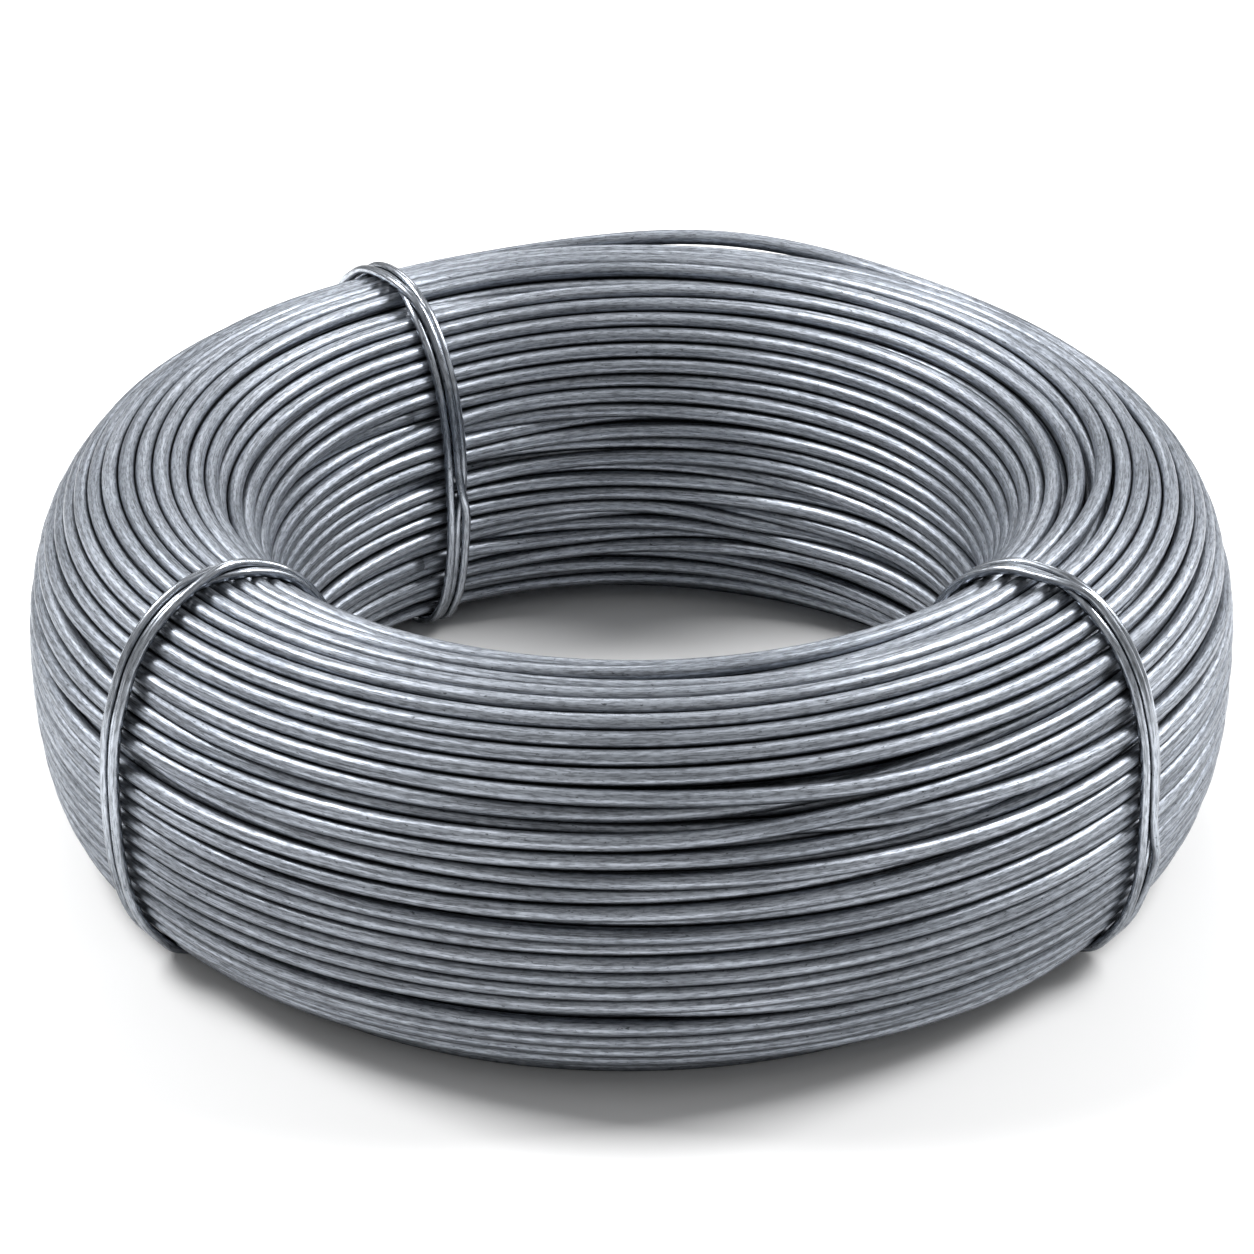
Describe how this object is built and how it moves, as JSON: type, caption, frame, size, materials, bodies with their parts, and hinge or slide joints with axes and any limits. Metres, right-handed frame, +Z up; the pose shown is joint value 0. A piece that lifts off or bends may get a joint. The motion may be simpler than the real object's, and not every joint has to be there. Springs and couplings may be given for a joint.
{
  "type": "wire rod coil",
  "caption": "Coil of plain steel wire rod lying flat, wound in close parallel turns round an open bore and held together by wrapped tie wires.",
  "frame": {"origin": "on the floor that the coil lies on, at the coil's own axis", "axes": "+Z up along the coil's axis; -Y towards the side that shows two ties, one at its left (-X) and one at its right (+X); the third tie is at the back (+Y), a little towards -X"},
  "size_m": [0.516, 0.5158, 0.1703],
  "materials": {
    "wire_rod": "bright drawn steel, cool grey, with fine streaks along the wire",
    "tie_wire": "bright drawn steel, cool grey, a little duller than the coil"
  },
  "bodies": {
    "root": {"wire_coil": "wire_rod", "tie_back": "tie_wire", "tie_left": "tie_wire", "tie_right": "tie_wire"}
  },
  "joints": []
}
